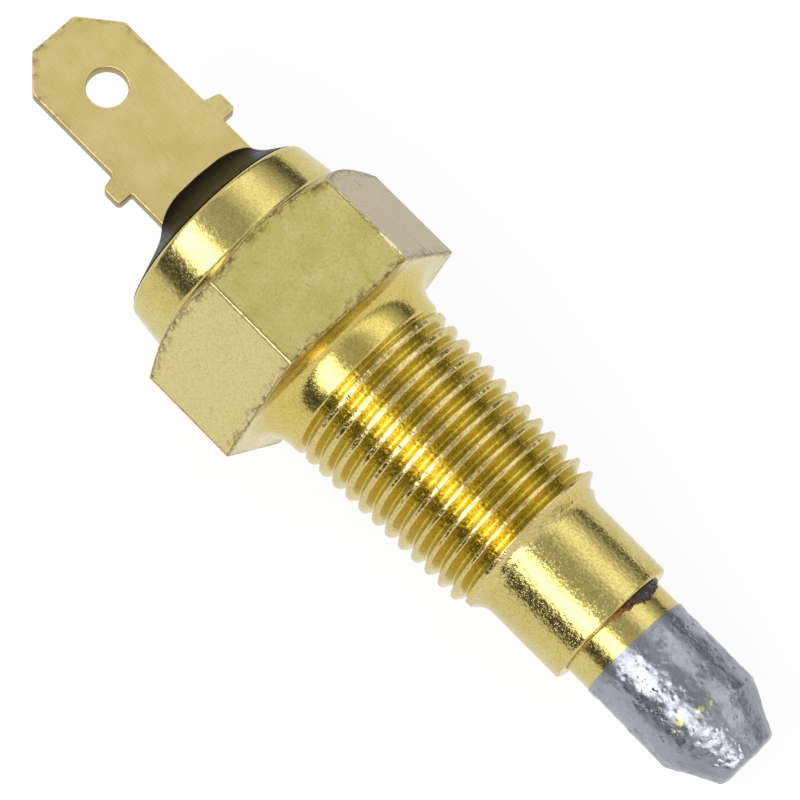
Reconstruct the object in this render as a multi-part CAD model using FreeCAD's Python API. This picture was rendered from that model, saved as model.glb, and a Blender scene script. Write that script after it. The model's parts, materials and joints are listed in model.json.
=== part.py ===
import FreeCAD, Part
import math
import os
from FreeCAD import Placement, Rotation, Vector

# Coolant temperature sensor with a taper pipe thread and one blade terminal. Millimetres.
# Every piece is drawn upright on the sensor's axis, with the underside of the hexagon at
# height 0, the terminal up and the probe down, and one flat of the hexagon square to Y.
# The whole is then laid on the opposite flat, the way the loose sensor comes to rest.

# Spanner hexagon
hex_across_flats = 14.0
hex_corner_height = 5.75
hex_chamfer_angle = 30.0
hex_top_face_margin = 0.1

# Collar that holds the potting, turned above the hexagon
collar_foot_radius = 6.4
collar_rim_radius = 6.03
collar_height = 3.0
collar_foot_fillet = 0.4
collar_rim_round = 0.5
collar_lip = 0.5
cup_depth = 6.0

# Taper pipe thread R 1/8: 28 threads to the inch, 1 in 16 on the diameter, 55 degree flanks
thread_pitch = 25.4 / 28
thread_gauge_diameter = 9.728
thread_gauge_length = 3.97
thread_taper = 1 / 16
thread_flank_angle = 55.0
thread_depth = 0.58
thread_root_width = 0.08
thread_stem_length = 14.5
thread_plain_length = 2.2
thread_cutter_overlap = 0.1
neck_fillet = 1.5

# Plain shank below the thread
shank_radius = 3.85
shank_length = 5.14
shank_edge_round = 0.15
bore_radius = 2.6

# Probe thimble, pressed into the end of the shank
thimble_radius = 3.2
thimble_seat_depth = 5.0
thimble_cylinder_reach = 6.93
thimble_floor = 2.8
nose_half_angle = 27.0
nose_end_radius = 1.8
nose_shoulder_round = 0.4
nose_end_round = 0.5

# Bead of sealing lacquer in the corner between the shank and the thimble
bead_width = 0.4
bead_height = 0.35

# Thermistor disc on the thimble's floor
thermistor_radius = 2.2
thermistor_thickness = 1.2

# Insulating sleeve that lines the bore
sleeve_wall = 0.25
sleeve_clearance = 0.1

# Insulator that carries the terminal
insulator_flange = 1.6
insulator_spigot = 2.6
insulator_clearance = 0.05

# Contact pin, staked on the terminal's tang, and the spring between it and the thermistor
pin_radius = 1.4
pin_head_height = 1.8
pin_collar_height = 1.0
pin_spigot_height = 1.2
pin_clearance = 0.15
spring_length = 5.5
spring_wire = 0.4
spring_wire_sides = 8    # the round wire is drawn with few sides to keep it light
spring_clearance = 0.05
spring_coils = 5

# Blade terminal, 6.3 by 0.8
blade_width = 6.3
blade_thickness = 0.8
blade_offset = -1.17
blade_length = 8.02
blade_end_chamfer = 1.75
blade_hole_radius = 1.13
blade_hole_from_end = 4.1
ear_width = 8.1
ear_height = 1.37
ear_shoulder_slope = 0.25
ear_round = 0.25
stem_above_rim = 4.12
tang_width = 2.4
tang_reach = 1.2
tang_clearance = 0.05

# Potting, drawn up around the blade
potting_rise = 2.7
potting_ovals = [
    # share of the rise, half length over the cup's radius, half width over the cup's radius
    (0.00, 1.00, 1.00),
    (0.20, 0.84, 0.74),
    (0.45, 0.68, 0.44),
    (0.70, 0.55, 0.24),
    (0.88, 0.42, 0.14),
    (1.00, 0.20, 0.09),
]

# Levels and radii that follow from the sizes
hex_corner_radius = hex_across_flats / math.sqrt(3)
hex_chamfer_rise = math.tan(math.radians(hex_chamfer_angle))
hex_top_face_radius = hex_across_flats / 2 - hex_top_face_margin
hex_top = hex_corner_height + (hex_corner_radius - hex_top_face_radius) * hex_chamfer_rise
rim_level = hex_top + collar_height
cup_radius = collar_rim_radius - collar_lip
cup_floor = rim_level - cup_depth
thread_end = -thread_stem_length
shank_end = thread_end - shank_length
thimble_top = shank_end + thimble_seat_depth
nose_shoulder = shank_end - thimble_cylinder_reach
nose_tip = nose_shoulder - (thimble_radius - nose_end_radius) / math.tan(math.radians(nose_half_angle))
thimble_floor_level = nose_tip + thimble_floor
thermistor_top = thimble_floor_level + thermistor_thickness
sleeve_radius = bore_radius - sleeve_clearance
insulator_top = cup_floor + insulator_flange
insulator_bottom = cup_floor - insulator_spigot
tang_end = insulator_bottom - tang_reach
spring_top = thermistor_top + spring_length
ear_bottom = rim_level + stem_above_rim
ear_top = ear_bottom + ear_height
blade_end = ear_top + blade_length
pin_collar_radius = sleeve_radius - sleeve_wall - pin_clearance
spring_radius = pin_collar_radius - spring_wire / 2


def thread_radius(level):
    """Crest radius of the taper thread at a level."""
    gauge_level = thread_end + thread_gauge_length
    return thread_gauge_diameter / 2 + (level - gauge_level) * thread_taper / 2


def outline(corners):
    """Closed face in the XZ plane through corners (x, z, rounding)."""
    edges = []
    last_exit = None
    first_entry = None
    for index, (x, z, rounding) in enumerate(corners):
        here = Vector(x, 0, z)
        previous_x, previous_z, _ = corners[index - 1]
        next_x, next_z, _ = corners[(index + 1) % len(corners)]
        back = (Vector(previous_x, 0, previous_z) - here).normalize()
        onward = (Vector(next_x, 0, next_z) - here).normalize()
        entry = exit_point = here
        if rounding > 0:
            half_angle = back.getAngle(onward) / 2
            reach = rounding / math.tan(half_angle)
            entry = here + back * reach
            exit_point = here + onward * reach
            inward = (back + onward).normalize()
            middle = here + inward * (rounding / math.sin(half_angle) - rounding)
            arc = Part.Arc(entry, middle, exit_point).toShape()
        if last_exit is not None:
            edges.append(Part.makeLine(last_exit, entry))
        if rounding > 0:
            edges.append(arc)
        first_entry = first_entry or entry
        last_exit = exit_point
    edges.append(Part.makeLine(last_exit, first_entry))
    return Part.Face(Part.Wire(edges))


def turned(corners):
    """Solid of revolution about the sensor's axis from an outline (radius, level, rounding)."""
    return outline(corners).revolve(Vector(0, 0, 0), Vector(0, 0, 1), 360)


def cylinder(radius, bottom, top):
    return Part.makeCylinder(radius, top - bottom, Vector(0, 0, bottom))


def flat_bar(width, bottom, top, margin):
    """Bar of the terminal's thickness, centred on the axis, with a margin on its four sides."""
    thickness = blade_thickness + 2 * margin
    corner = Vector(-width / 2 - margin, -thickness / 2, bottom)
    return Part.makeBox(width + 2 * margin, thickness, top - bottom, corner)


def make_thread_groove():
    """Cutter for the thread: a V with a narrow flat root, swept up a conical helix."""
    start = thread_end - thread_pitch
    height = -thread_plain_length - start
    radius = thread_radius(start)
    half_cone = math.degrees(math.atan(thread_taper / 2))
    helix = Part.makeLongHelix(thread_pitch, height, radius, half_cone)
    helix.translate(Vector(0, 0, start))
    flank = math.tan(math.radians(thread_flank_angle / 2))
    root_half = thread_root_width / 2
    mouth_half = root_half + (thread_depth + thread_cutter_overlap) * flank
    root = radius - thread_depth
    mouth = radius + thread_cutter_overlap
    section = Part.makePolygon([
        Vector(mouth, 0, start - mouth_half),
        Vector(mouth, 0, start + mouth_half),
        Vector(root, 0, start + root_half),
        Vector(root, 0, start - root_half),
        Vector(mouth, 0, start - mouth_half),
    ])
    return Part.Wire(helix.Edges).makePipeShell([section], True, True)


def make_hexagon():
    """Spanner hexagon with its top corners chamfered by one cone, as a ring for the blank."""
    corners = []
    for index in range(7):
        angle = math.radians(60 * index)
        corners.append(Vector(math.cos(angle), math.sin(angle), 0) * hex_corner_radius)
    prism = Part.Face(Part.makePolygon(corners)).extrude(Vector(0, 0, hex_top))
    foot = Vector(hex_corner_radius + 1, 0, hex_corner_height - hex_chamfer_rise)
    head = Vector(hex_top_face_radius, 0, hex_top)
    # the slope is a spline, so the flats end in splines too, which measure more safely than hyperbolas
    slope = Part.LineSegment(foot, head).toBSpline().toShape()
    square = Part.makePolygon([head, Vector(0, 0, hex_top), Vector(0, 0, 0), Vector(foot.x, 0, 0), foot])
    profile = Part.Face(Part.Wire(square.Edges + [slope]))
    chamfer = profile.revolve(Vector(0, 0, 0), Vector(0, 0, 1), 360)
    hole = cylinder((collar_foot_radius + hex_top_face_radius) / 2, -1, hex_top + 1)
    return prism.common(chamfer).cut(hole)


def make_hex_body():
    """Brass body in one piece: collar cup, hexagon, threaded stem and shank, bored through."""
    thread_step = thread_radius(thread_end) - shank_radius
    blank = turned([
        (thimble_radius, shank_end, 0),
        (shank_radius, shank_end, shank_edge_round),
        (shank_radius, thread_end, 0),
        (thread_radius(thread_end), thread_end + thread_step, 0),
        (thread_radius(0), 0, neck_fillet),
        (hex_top_face_radius, 0, 0),
        (hex_top_face_radius, hex_top, 0),
        (collar_foot_radius, hex_top, collar_foot_fillet),
        (collar_rim_radius, rim_level, collar_rim_round),
        (cup_radius, rim_level, 0),
        (cup_radius, cup_floor, 0),
        (bore_radius, cup_floor, 0),
        (bore_radius, thimble_top, 0),
        (thimble_radius, thimble_top, 0),
    ])
    body = blank.fuse(make_hexagon()).cut(make_thread_groove())
    return body.Solids[0]


def make_probe_thimble():
    """Closed brass tube with a conical nose and a flat floor inside."""
    return turned([
        (0, nose_tip, 0),
        (nose_end_radius, nose_tip, nose_end_round),
        (thimble_radius, nose_shoulder, nose_shoulder_round),
        (thimble_radius, thimble_top, 0),
        (bore_radius, thimble_top, 0),
        (bore_radius, thimble_floor_level, 0),
        (0, thimble_floor_level, 0),
    ])


def make_joint_bead():
    """Lacquer that runs round the corner where the thimble leaves the shank."""
    return turned([
        (thimble_radius, shank_end, 0),
        (thimble_radius + bead_width, shank_end, 0),
        (thimble_radius, shank_end - bead_height, 0),
    ])


def make_thermistor_disc():
    return cylinder(thermistor_radius, thimble_floor_level, thermistor_top)


def make_insulating_sleeve():
    """Thin tube from the thimble's floor to the insulator, round the thermistor and spring."""
    outer = cylinder(sleeve_radius, thimble_floor_level, insulator_bottom)
    inner = cylinder(sleeve_radius - sleeve_wall, thimble_floor_level, insulator_bottom)
    return outer.cut(inner)


def make_contact_spring():
    """Compression spring between the thermistor and the contact pin's collar."""
    wire_radius = spring_wire / 2
    start = thermistor_top + wire_radius
    height = spring_length - spring_wire
    helix = Part.makeHelix(height / spring_coils, height, spring_radius)
    helix.translate(Vector(0, 0, start))
    corners = []
    for index in range(spring_wire_sides + 1):
        angle = math.radians(360 * index / spring_wire_sides)
        across = Vector(math.cos(angle), 0, math.sin(angle)) * wire_radius
        corners.append(Vector(spring_radius, 0, start) + across)
    return Part.Wire(helix.Edges).makePipeShell([Part.makePolygon(corners)], True, True)


def make_contact_pin():
    """Turned pin under the insulator: slotted head, shaft, collar and spigot for the spring."""
    collar_top = spring_top + pin_collar_height
    head_bottom = insulator_bottom - pin_head_height
    spigot_radius = spring_radius - spring_wire / 2 - spring_clearance
    pin = turned([
        (0, spring_top - pin_spigot_height, 0),
        (spigot_radius, spring_top - pin_spigot_height, 0),
        (spigot_radius, spring_top, 0),
        (pin_collar_radius, spring_top, 0),
        (pin_collar_radius, collar_top, 0),
        (pin_radius, collar_top, 0),
        (pin_radius, head_bottom, 0),
        (pin_collar_radius, head_bottom, 0),
        (pin_collar_radius, insulator_bottom, 0),
        (0, insulator_bottom, 0),
    ])
    return pin.cut(flat_bar(tang_width, tang_end, insulator_bottom + 1, tang_clearance))


def make_terminal_insulator():
    """Flanged bush on the cup's floor, slotted for the terminal's tang."""
    bush = turned([
        (0, insulator_bottom, 0),
        (sleeve_radius, insulator_bottom, 0),
        (sleeve_radius, cup_floor, 0),
        (cup_radius - insulator_clearance, cup_floor, 0),
        (cup_radius - insulator_clearance, insulator_top, 0),
        (0, insulator_top, 0),
    ])
    return bush.cut(flat_bar(tang_width, insulator_bottom - 1, insulator_top + 1, tang_clearance))


def make_blade_terminal():
    """Stamped blade with latch hole and stop ears, a stem into the potting and a tang."""
    left = blade_offset - blade_width / 2
    right = blade_offset + blade_width / 2
    ear_left = blade_offset - ear_width / 2
    ear_right = blade_offset + ear_width / 2
    ear_shoulder = ear_top - ear_shoulder_slope
    sheet = outline([
        (-tang_width / 2, tang_end, 0),
        (tang_width / 2, tang_end, 0),
        (tang_width / 2, insulator_top, 0),
        (right, insulator_top, 0),
        (right, ear_bottom, ear_round / 2),
        (ear_right, ear_bottom, ear_round),
        (ear_right, ear_shoulder, ear_round),
        (right, ear_top, ear_round / 2),
        (right, blade_end - blade_end_chamfer, ear_round),
        (right - blade_end_chamfer, blade_end, ear_round),
        (left + blade_end_chamfer, blade_end, ear_round),
        (left, blade_end - blade_end_chamfer, ear_round),
        (left, ear_top, ear_round / 2),
        (ear_left, ear_shoulder, ear_round),
        (ear_left, ear_bottom, ear_round),
        (left, ear_bottom, ear_round / 2),
        (left, insulator_top, 0),
        (-tang_width / 2, insulator_top, 0),
    ])
    sheet.translate(Vector(0, -blade_thickness / 2, 0))
    blank = sheet.extrude(Vector(0, blade_thickness, 0))
    hole_centre = Vector(blade_offset, -blade_thickness, blade_end - blade_hole_from_end)
    hole = Part.makeCylinder(blade_hole_radius, 2 * blade_thickness, hole_centre, Vector(0, 1, 0))
    return blank.cut(hole)


def make_potting_resin(blade_terminal):
    """Potting that fills the cup and climbs the blade in a hollow skirt of shrinking ovals."""
    fill = cylinder(cup_radius, insulator_top, rim_level)
    ovals = []
    for rise, length_share, width_share in potting_ovals:
        sideways = blade_offset * (1 - length_share) / (1 - potting_ovals[-1][1])
        centre = Vector(sideways, 0, rim_level + potting_rise * rise)
        end = centre + Vector(cup_radius * length_share, 0, 0)
        side = centre + Vector(0, cup_radius * width_share, 0)
        oval = Part.Ellipse(end, side, centre)
        ovals.append(Part.Wire(oval.toShape()))
    skirt = Part.makeLoft(ovals, True, False)
    return fill.fuse(skirt).cut(blade_terminal).Solids[0]


def laid_down(pieces):
    """Turn the upright sensor onto a flat, resting on that flat's lower edge and the nose."""
    drop = hex_across_flats / 2 - thimble_radius
    tilt = math.degrees(math.atan2(drop, -nose_shoulder))
    axis_to_x = Rotation(Vector(1, 1, 1), 120)
    nose_down = Rotation(Vector(0, 1, 0), -tilt)
    turn = Placement(Vector(0, 0, 0), nose_down.multiply(axis_to_x))
    laid = {}
    for name, shape in pieces.items():
        laid[name] = shape.transformed(turn.toMatrix())
    box = Part.makeCompound(list(laid.values())).optimalBoundingBox(True, False)
    shift = Vector(-(box.XMin + box.XMax) / 2, 0, -box.ZMin)
    for shape in laid.values():
        shape.translate(shift)
    return laid


blade = make_blade_terminal()
sensor = {
    "hex_body": make_hex_body(),
    "probe_thimble": make_probe_thimble(),
    "joint_bead": make_joint_bead(),
    "thermistor_disc": make_thermistor_disc(),
    "insulating_sleeve": make_insulating_sleeve(),
    "contact_spring": make_contact_spring(),
    "contact_pin": make_contact_pin(),
    "terminal_insulator": make_terminal_insulator(),
    "blade_terminal": blade,
    "potting_resin": make_potting_resin(blade),
}

os.makedirs("parts", exist_ok=True)
for node, shape in laid_down(sensor).items():
    shape.exportStep("parts/" + node + ".step")
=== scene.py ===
import json
import math
import bpy
import numpy as np
from mathutils import Matrix, Vector, noise


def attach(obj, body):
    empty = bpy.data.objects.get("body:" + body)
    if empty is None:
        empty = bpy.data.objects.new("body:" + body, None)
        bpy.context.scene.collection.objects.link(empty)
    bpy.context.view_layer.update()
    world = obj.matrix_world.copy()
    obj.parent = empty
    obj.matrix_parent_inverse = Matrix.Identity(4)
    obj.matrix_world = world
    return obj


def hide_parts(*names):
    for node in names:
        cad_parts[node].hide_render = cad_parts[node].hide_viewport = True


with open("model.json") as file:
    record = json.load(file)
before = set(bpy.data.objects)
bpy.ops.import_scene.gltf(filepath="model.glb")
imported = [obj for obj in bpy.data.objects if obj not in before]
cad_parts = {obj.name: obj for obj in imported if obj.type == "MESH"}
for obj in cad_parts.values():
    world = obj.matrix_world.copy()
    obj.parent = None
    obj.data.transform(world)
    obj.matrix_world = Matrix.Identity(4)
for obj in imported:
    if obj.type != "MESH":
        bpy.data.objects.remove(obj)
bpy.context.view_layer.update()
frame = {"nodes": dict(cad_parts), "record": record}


# Hex body. Brass bar of 14 mm across flats, turned, bored and die-threaded in one piece,
# then bright-dipped: collar with the potting cup, hexagon, neck, taper thread R 1/8, shank.
# Lengths are millimetres on the upright sensor; its axis is Z and 0 is the hexagon's underside.

hex_across_flats = 14.0
hex_corner_radius = hex_across_flats / math.sqrt(3)
hex_corner_height = 5.75
hex_chamfer_rise = math.tan(math.radians(30))
hex_top_radius = 6.9
hex_top = hex_corner_height + (hex_corner_radius - hex_top_radius) * hex_chamfer_rise
hex_corner_round = 0.12
hex_edge_round = 0.07
chamfer_edge_round = 0.06
collar_foot_radius = 6.4
collar_foot_fillet = 0.4
collar_rim_radius = 6.03
collar_height = 2.87
collar_lip = 0.45
collar_rim_round = 0.38
rim_level = hex_top + collar_height
cup_radius = collar_rim_radius - collar_lip
cup_edge_round = 0.04
cup_floor = rim_level - 6.0
thread_pitch = 0.925
thread_gauge_radius = 9.728 / 2
thread_gauge_length = 3.97
thread_taper = 1 / 16
thread_end = -14.5
thread_end_round = 0.06
thread_plain_length = 2.2
rows_per_pitch = 20
crest_gap_low = 0.1
crest_gap_high = 0.12
neck_fillet = 1.5
shank_radius = 3.85
shank_end = thread_end - 5.14
shank_edge_round = 0.2
shank_fillet = 1.0
bore_radius = 2.6
thimble_radius = 3.2
thimble_top = shank_end + 5.0

mounts = {mount["name"]: mount for mount in frame["record"]["mounts"]}
axis_up = -Vector(mounts["taper_thread"]["axis"])
flat_normal = Vector(mounts["spanner_flats"]["axis"])
sideways = flat_normal.cross(axis_up)
gauge_plane = Vector(mounts["taper_thread"]["pos_m"])
sensor_zero = gauge_plane - axis_up * (thread_end + thread_gauge_length) / 1000
sensor_turn = Matrix((sideways, flat_normal, axis_up)).transposed()
laid_down = Matrix.Translation(sensor_zero) @ sensor_turn.to_4x4() @ Matrix.Scale(0.001, 4)


def thread_radius(level):
    gauge_level = thread_end + thread_gauge_length
    return thread_gauge_radius + (level - gauge_level) * thread_taper / 2


def rounded_path(corners, longest=0.7, hold=0.06):
    """Points along corners (radius, level, rounding), with arcs at the corners and points
    held close to the ends of each straight run, so that smooth shading stays flat there."""
    arc_step = math.radians(13)
    joints = []
    for index, (radius, level, rounding) in enumerate(corners):
        here = Vector((radius, level))
        if rounding == 0 or index in (0, len(corners) - 1):
            joints.append([here])
            continue
        back = (Vector(corners[index - 1][:2]) - here).normalized()
        onward = (Vector(corners[index + 1][:2]) - here).normalized()
        half = back.angle(onward) / 2
        centre = here + (back + onward).normalized() * rounding / math.sin(half)
        start = here + back * rounding / math.tan(half) - centre
        turn = (here + onward * rounding / math.tan(half) - centre).angle_signed(start)
        steps = max(3, math.ceil(abs(turn) / arc_step))
        arc = []
        for step in range(steps + 1):
            angle = turn * step / steps
            across = Vector((-start.y, start.x)) * math.sin(angle)
            arc.append(centre + start * math.cos(angle) + across)
        joints.append(arc)
    path = list(joints[0])
    for before, after in zip(joints, joints[1:]):
        start, end = before[-1], after[0]
        length = (end - start).length
        if length > 3 * hold:
            inner = max(1, math.ceil((length - 2 * hold) / longest))
            for step in range(inner + 1):
                share = (hold + (length - 2 * hold) * step / inner) / length
                path.append(start.lerp(end, share))
        path.extend(after if length > 1e-6 else after[1:])
    return [(point.x, point.y) for point in path]


def turned_rings(path, angles):
    return [[(r * math.cos(a), r * math.sin(a), z) for a in angles] for r, z in path]


def ring_mesh(name, rings, looped):
    """Closed mesh from rings of points: the last ring joins the first, or both ends close
    on a middle point."""
    rows, columns = len(rings), len(rings[0])
    points = [tuple(point) for ring in rings for point in ring]
    faces = []
    for row in range(rows if looped else rows - 1):
        low, high = row * columns, (row + 1) % rows * columns
        for column in range(columns):
            after = (column + 1) % columns
            faces.append((low + column, low + after, high + after, high + column))
    if not looped:
        for row, flipped in ((0, True), (rows - 1, False)):
            ring = np.array(rings[row])
            points.append(tuple(ring.mean(axis=0)))
            middle = len(points) - 1
            for column in range(columns):
                pair = [row * columns + column, row * columns + (column + 1) % columns]
                faces.append((middle, *(reversed(pair) if flipped else pair)))
    mesh = bpy.data.meshes.new(name)
    mesh.from_pydata(points, [], faces)
    mesh.shade_smooth()
    piece = bpy.data.objects.new(name, mesh)
    bpy.context.scene.collection.objects.link(piece)
    return piece


# columns round the axis: close together at the hexagon's six corners, even between them
corner_centre = (hex_across_flats / 2 - hex_corner_round) / math.cos(math.radians(30))
corner_turn = math.degrees(math.atan2(
    hex_corner_round * math.sin(math.radians(30)),
    corner_centre + hex_corner_round * math.cos(math.radians(30))))
half_sector = [corner_turn * share for share in (0, 0.33, 0.67, 1, 1.8)]
half_sector += [1.2] + list(np.linspace(2.0, 30, 14))
sector = half_sector + [60 - angle for angle in reversed(half_sector[1:-1])]
column_angles = np.radians([60 * side + angle for side in range(6) for angle in sector])


def hexagon_radius(angle):
    """Distance from the axis to the hexagon, its six corners slightly rounded."""
    from_corner = abs((math.degrees(angle) + 30) % 60 - 30)
    turn = math.radians(from_corner)
    if from_corner > corner_turn:
        return hex_across_flats / 2 / math.cos(math.radians(30) - turn)
    aside = corner_centre * math.sin(turn)
    return corner_centre * math.cos(turn) + math.sqrt(hex_corner_round ** 2 - aside ** 2)


# shank and thread: the end chamfer is a cone of 45 degrees from the shank to the crests
thread_step = thread_radius(thread_end) - shank_radius
crest_start = thread_end + thread_step + crest_gap_low
crest_end = -neck_fillet - crest_gap_high
stem_path = rounded_path([
    (thimble_radius, shank_end, 0),
    (shank_radius, shank_end, shank_edge_round),
    (shank_radius, thread_end - 0.04, shank_fillet),
    (thread_radius(thread_end), thread_end + thread_step, thread_end_round),
    (thread_radius(crest_start), crest_start, 0),
])
crest_rows = math.ceil((crest_end - crest_start) / (thread_pitch / rows_per_pitch))
crest_levels = np.linspace(crest_start, crest_end, crest_rows + 1)
crest_path = [(thread_radius(level), level) for level in crest_levels]
neck_path = rounded_path([
    (thread_radius(crest_end), crest_end, 0),
    (thread_radius(0), 0, neck_fillet),
    (hex_top_radius - 0.05, 0, 0),
], hold=0.02)

# hexagon: rows on its underside, round its lower edge, up the flats and over the chamfer's
# edge, which runs in an arc on each flat; each row has its own radius and level per column
hex_radii = np.array([hexagon_radius(angle) for angle in column_angles])
lower_edge = hex_radii - hex_edge_round
chamfer_foot = hex_corner_height + (hex_corner_radius - hex_radii) * hex_chamfer_rise
chamfer_blend = np.minimum(chamfer_edge_round, (hex_radii - hex_top_radius) * 0.4)
flat_top = chamfer_foot - chamfer_blend
underside_shares = (0.4, 0.7, 0.9)
edge_turns = np.radians((0, 30, 60, 90))
flat_shares = (0.02, 0.2, 0.4, 0.6, 0.8, 0.98)
chamfer_steps = ((0, 1), (0.12, 0.45), (0.45, -0.12), (1, -hex_chamfer_rise))
hex_rows = []
for share in underside_shares:
    radii = hex_top_radius + (lower_edge - hex_top_radius) * share
    hex_rows.append((radii, np.zeros_like(radii)))
for turn in edge_turns:
    up = hex_edge_round * (1 - math.cos(turn))
    hex_rows.append((lower_edge + hex_edge_round * math.sin(turn), np.full_like(hex_radii, up)))
for share in flat_shares:
    hex_rows.append((hex_radii, hex_edge_round + (flat_top - hex_edge_round) * share))
for out, up in chamfer_steps:
    hex_rows.append((hex_radii - chamfer_blend * out, chamfer_foot - chamfer_blend * up))
hex_rows.append((np.full_like(hex_radii, hex_top_radius), np.full_like(hex_radii, hex_top)))
hex_rings = []
for radii, levels in hex_rows:
    x, y = radii * np.cos(column_angles), radii * np.sin(column_angles)
    hex_rings.append(list(zip(x, y, levels)))

collar_path = rounded_path([
    (hex_top_radius, hex_top, 0),
    (collar_foot_radius, hex_top, collar_foot_fillet),
    (collar_rim_radius, rim_level, collar_rim_round),
    (cup_radius, rim_level, cup_edge_round),
    (cup_radius, cup_floor, 0),
    (bore_radius, cup_floor, 0),
    (bore_radius, thimble_top, 0),
    (thimble_radius, thimble_top, 0),
    (thimble_radius, shank_end, 0),
])
body_rings = turned_rings(stem_path, column_angles)
body_rings += turned_rings(crest_path[1:-1], column_angles)
body_rings += turned_rings(neck_path, column_angles)
hexagon_start = len(body_rings)
body_rings += hex_rings
hexagon_end = len(body_rings) - 1
body_rings += turned_rings(collar_path[1:-1], column_angles)
body = ring_mesh("brass_hex_body", body_rings, looped=True)


def paint(piece, name, values):
    """Store one number for each point, for the material to read."""
    attribute = piece.data.attributes.new(name, "FLOAT", "POINT")
    attribute.data.foreach_set("value", np.asarray(values, np.float32))


# for the material: the hexagon, where the bar's drawn skin is left on it, how far each point
# is from its corners in degrees and from its ends in millimetres, and two flats with painted
# light: one painted paler, one painted duller and greyer, for how each catches the light
far = 9.0
painted_duller_bearing, painted_paler_bearing, half_flat = 150, 30, 29.7
bearings = np.degrees(column_angles)
end_distances = []
for row, (radii, levels) in enumerate(hex_rows):
    if row < len(underside_shares):
        end_distances.append(lower_edge - radii)
    else:
        end_distances.append(np.minimum(levels, np.abs(chamfer_foot - levels)))
hexagon_rows = slice(hexagon_start, hexagon_end)
skin_rows = slice(hexagon_start + len(underside_shares), hexagon_end)
marks = {
    "drawn_skin": (skin_rows, 1, 0.0),
    "hexagon": (hexagon_rows, 1, 0.0),
    "from_corner": (skin_rows, np.abs((bearings + 30) % 60 - 30), far),
    "from_end": (slice(hexagon_start, hexagon_end + 1), end_distances, far),
    "flat_painted_duller": (hexagon_rows, np.abs(bearings - painted_duller_bearing) < half_flat, 0.0),
    "flat_painted_paler": (hexagon_rows, np.abs(bearings - painted_paler_bearing) < half_flat, 0.0),
}
for name, (rows, values, elsewhere) in marks.items():
    numbers = np.full((len(body_rings), len(column_angles)), elsewhere)
    numbers[rows] = values
    paint(body, name, numbers.ravel())


def add(tree, kind, settings=None, inputs=None):
    """Add a node, set its settings, and give its inputs their values or links."""
    made = tree.nodes.new(kind)
    for name, value in (settings or {}).items():
        setattr(made, name, value)
    for name, value in (inputs or {}).items():
        if isinstance(value, bpy.types.NodeSocket):
            tree.links.new(value, made.inputs[name])
        else:
            made.inputs[name].default_value = value
    return made


def maths(tree, operation, first, second=0.0, third=0.0):
    return add(tree, "ShaderNodeMath", {"operation": operation},
               {0: first, 1: second, 2: third}).outputs[0]


def times(tree, first, *others):
    """Product of numbers and nodes' outputs."""
    for other in others:
        first = maths(tree, "MULTIPLY", first, other)
    return first


def one_minus(tree, value):
    return maths(tree, "SUBTRACT", 1.0, value)


def vector_maths(tree, operation, first, **inputs):
    """Vector maths; gives a number for a length, a distance or a dot product."""
    second = {1: inputs["second"]} if "second" in inputs else {}
    scale = {"Scale": inputs["scale"]} if "scale" in inputs else {}
    made = add(tree, "ShaderNodeVectorMath", {"operation": operation},
               {0: first, **second, **scale})
    gives_number = operation in ("LENGTH", "DISTANCE", "DOT_PRODUCT")
    return made.outputs["Value" if gives_number else "Vector"]


def spread(tree, value, low, high, to_low, to_high, smooth=False):
    """The value from low to high made to run from to_low to to_high, and held beyond."""
    return add(tree, "ShaderNodeMapRange",
               {"interpolation_type": "SMOOTHSTEP" if smooth else "LINEAR"},
               {0: value, 1: low, 2: high, 3: to_low, 4: to_high}).outputs[0]


def speckle(tree, where, size, detail=3.0, roughness=0.55, seed=None):
    """Noise with blobs of about that size, which is a number or a node's output."""
    linked = isinstance(size, bpy.types.NodeSocket)
    inputs = {
        "Vector": where, "Detail": detail, "Roughness": roughness,
        "Scale": maths(tree, "DIVIDE", 0.5, size) if linked else 0.5 / size}
    if seed is None:
        return add(tree, "ShaderNodeTexNoise", None, inputs).outputs[0]
    inputs["W"] = seed
    return add(tree, "ShaderNodeTexNoise", {"noise_dimensions": "4D"}, inputs).outputs[0]


def start_shaping(name, sizes):
    """New Geometry Nodes group with one named input for each size."""
    tree = bpy.data.node_groups.new(name, "GeometryNodeTree")
    sockets = tree.interface
    sockets.new_socket("Geometry", in_out="INPUT", socket_type="NodeSocketGeometry")
    keys = {}
    for size in sizes:
        made = sockets.new_socket(size, in_out="INPUT", socket_type="NodeSocketFloat")
        keys[size] = made.identifier
    sockets.new_socket("Geometry", in_out="OUTPUT", socket_type="NodeSocketGeometry")
    return tree, add(tree, "NodeGroupInput").outputs, keys


def shape_piece(piece, tree, geometry, offset, material, sizes, keys):
    """Move the points by the offset, then keep the shape as a plain mesh without modifiers."""
    moved = add(tree, "GeometryNodeSetPosition", None, {"Geometry": geometry, "Offset": offset})
    real = add(tree, "GeometryNodeRealizeInstances", None, {0: moved.outputs[0]})
    dressed = add(tree, "GeometryNodeSetMaterial", None, {
        "Geometry": real.outputs[0], "Material": material})
    add(tree, "NodeGroupOutput", None, {0: dressed.outputs[0]})
    modifier = piece.modifiers.new(tree.name, "NODES")
    modifier.node_group = tree
    for name, value in sizes.items():
        modifier[keys[name]] = value
    ready = piece.evaluated_get(bpy.context.evaluated_depsgraph_get())
    mesh = bpy.data.meshes.new_from_object(ready)
    piece.modifiers.clear()
    piece.data = mesh


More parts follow.
